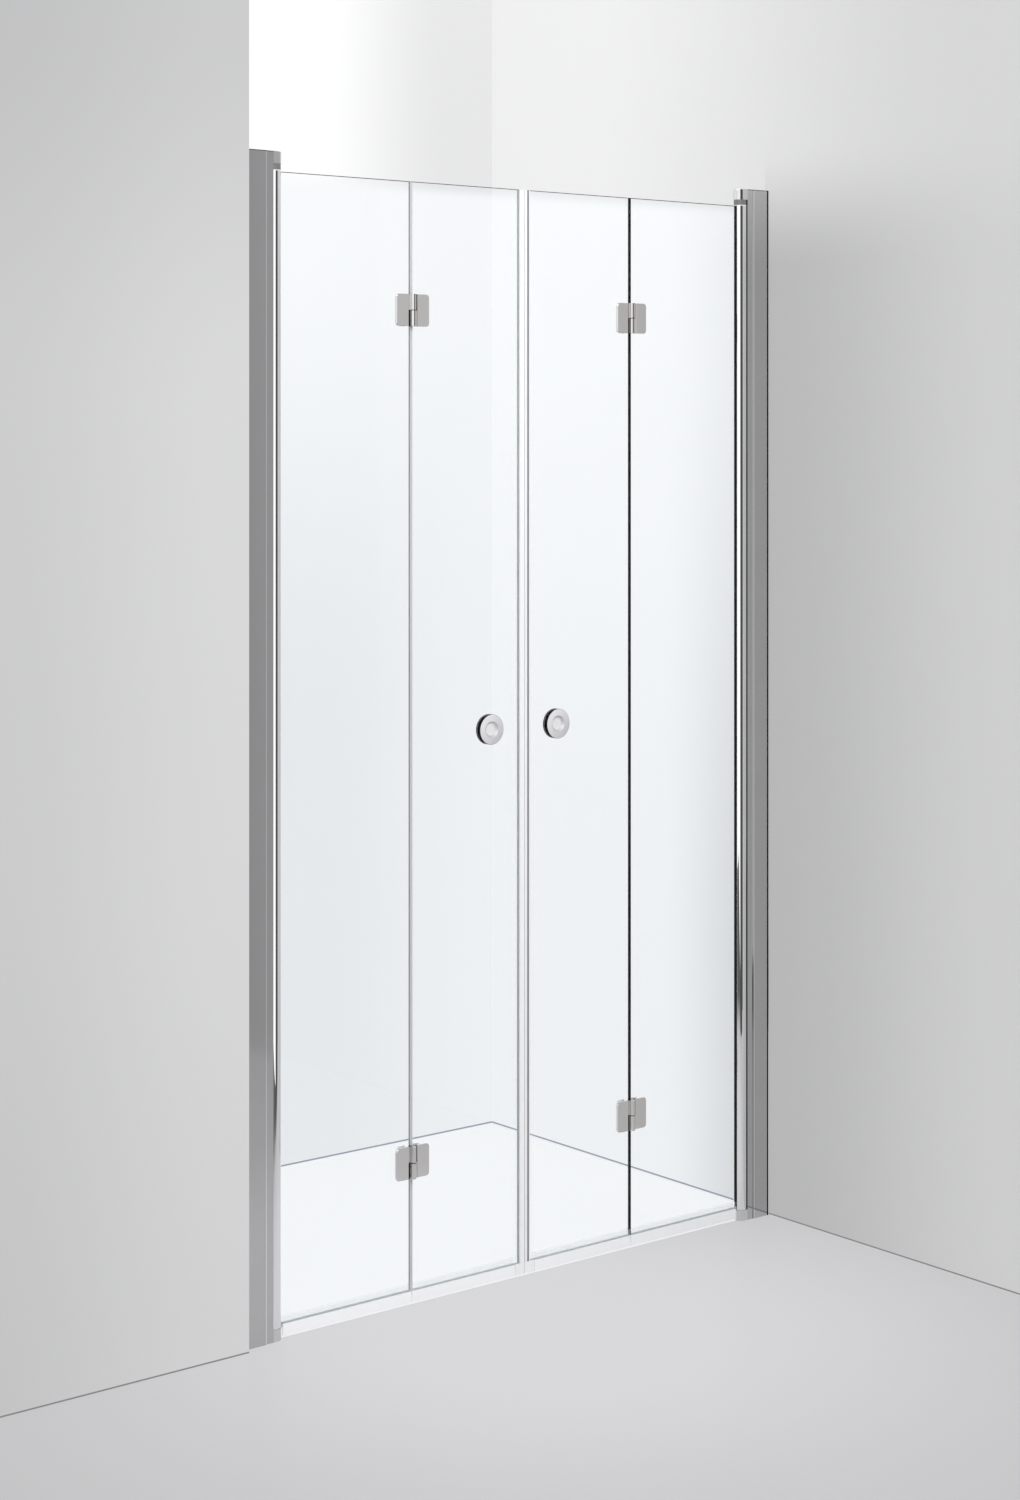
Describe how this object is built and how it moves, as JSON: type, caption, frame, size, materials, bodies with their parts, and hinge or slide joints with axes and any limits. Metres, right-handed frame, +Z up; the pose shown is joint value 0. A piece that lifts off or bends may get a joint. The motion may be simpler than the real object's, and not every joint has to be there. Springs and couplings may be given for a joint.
{
  "type": "shower screen",
  "caption": "Niche shower screen with bifold clear glass doors that pivot on round columns and fold on glass hinges, with dished ring pulls, magnetic seals and adjustable wall channels.",
  "frame": {"origin": "middle of the doorway at floor level, in the glass's middle plane", "axes": "+X to the right seen from outside, +Y into the shower, +Z up"},
  "size_m": [1.19, 0.032, 1.95],
  "materials": {
    "polished_profile": "polished",
    "chrome_profile": "bright polished",
    "chrome_fitting": "polished",
    "steel_fastener": "bright",
    "dark_polymer": "satin",
    "black_rubber": "matt",
    "white_polymer": "satin",
    "clear_seal": "clear",
    "magnet": "satin",
    "clear_glass": "clear polished"
  },
  "bodies": {
    "wall_channels": {"clamp_screws": "steel_fastener", "left_wall_channel": "polished_profile", "right_wall_channel": "polished_profile"},
    "left_jamb": {"left_jamb_profile": "polished_profile", "left_head_block": "chrome_fitting", "left_foot_block": "chrome_fitting", "left_block_screws": "steel_fastener", "left_pivot_pins": "steel_fastener", "left_collar": "dark_polymer"},
    "left_outer_leaf": {"left_column": "chrome_profile", "left_column_bushes": "white_polymer", "left_column_gasket": "black_rubber", "left_outer_glass": "clear_glass", "left_outer_hinge_leaves": "chrome_fitting", "left_outer_back_plates": "chrome_fitting", "left_outer_hinge_pads": "clear_seal", "left_outer_hinge_screws": "steel_fastener", "left_outer_sweep": "clear_seal", "left_fold_seal": "clear_seal"},
    "left_inner_leaf": {"left_inner_glass": "clear_glass", "left_inner_hinge_leaves": "chrome_fitting", "left_inner_back_plates": "chrome_fitting", "left_inner_hinge_pads": "clear_seal", "left_inner_hinge_screws": "steel_fastener", "left_outer_pull": "chrome_fitting", "left_inner_pull": "chrome_fitting", "left_pull_washers": "black_rubber", "left_inner_sweep": "clear_seal", "left_magnet_seal": "clear_seal", "left_magnet_strip": "magnet", "left_hinge_pins": "steel_fastener"},
    "right_jamb": {"right_jamb_profile": "polished_profile", "right_head_block": "chrome_fitting", "right_foot_block": "chrome_fitting", "right_block_screws": "steel_fastener", "right_pivot_pins": "steel_fastener", "right_collar": "dark_polymer"},
    "right_outer_leaf": {"right_column": "chrome_profile", "right_column_bushes": "white_polymer", "right_column_gasket": "black_rubber", "right_outer_glass": "clear_glass", "right_outer_hinge_leaves": "chrome_fitting", "right_outer_back_plates": "chrome_fitting", "right_outer_hinge_pads": "clear_seal", "right_outer_hinge_screws": "steel_fastener", "right_outer_sweep": "clear_seal", "right_fold_seal": "clear_seal", "right_hinge_pins": "steel_fastener"},
    "right_inner_leaf": {"right_inner_glass": "clear_glass", "right_inner_hinge_leaves": "chrome_fitting", "right_inner_back_plates": "chrome_fitting", "right_inner_hinge_pads": "clear_seal", "right_inner_hinge_screws": "steel_fastener", "right_outer_pull": "chrome_fitting", "right_inner_pull": "chrome_fitting", "right_pull_washers": "black_rubber", "right_inner_sweep": "clear_seal", "right_magnet_seal": "clear_seal", "right_magnet_strip": "magnet"}
  },
  "joints": [
    {"name": "left_width_adjust", "type": "slide", "parent": "wall_channels", "child": "left_jamb", "axis": [-1, 0, 0], "range_m": [0, 0.009]},
    {"name": "left_door_pivot", "type": "hinge", "parent": "left_jamb", "child": "left_outer_leaf", "pos_m": [-0.531, 0, 0.975], "axis": [0, 0, 1], "range_deg": [-90, 90]},
    {"name": "left_door_fold", "type": "hinge", "parent": "left_outer_leaf", "child": "left_inner_leaf", "pos_m": [-0.25, -0.009, 0.971], "axis": [0, 0, -1], "range_deg": [0, 180]},
    {"name": "right_width_adjust", "type": "slide", "parent": "wall_channels", "child": "right_jamb", "axis": [1, 0, 0], "range_m": [0, 0.009]},
    {"name": "right_door_pivot", "type": "hinge", "parent": "right_jamb", "child": "right_outer_leaf", "pos_m": [0.531, 0, 0.975], "axis": [0, 0, -1], "range_deg": [-90, 90]},
    {"name": "right_door_fold", "type": "hinge", "parent": "right_outer_leaf", "child": "right_inner_leaf", "pos_m": [0.25, -0.009, 0.971], "axis": [0, 0, 1], "range_deg": [0, 180]}
  ]
}
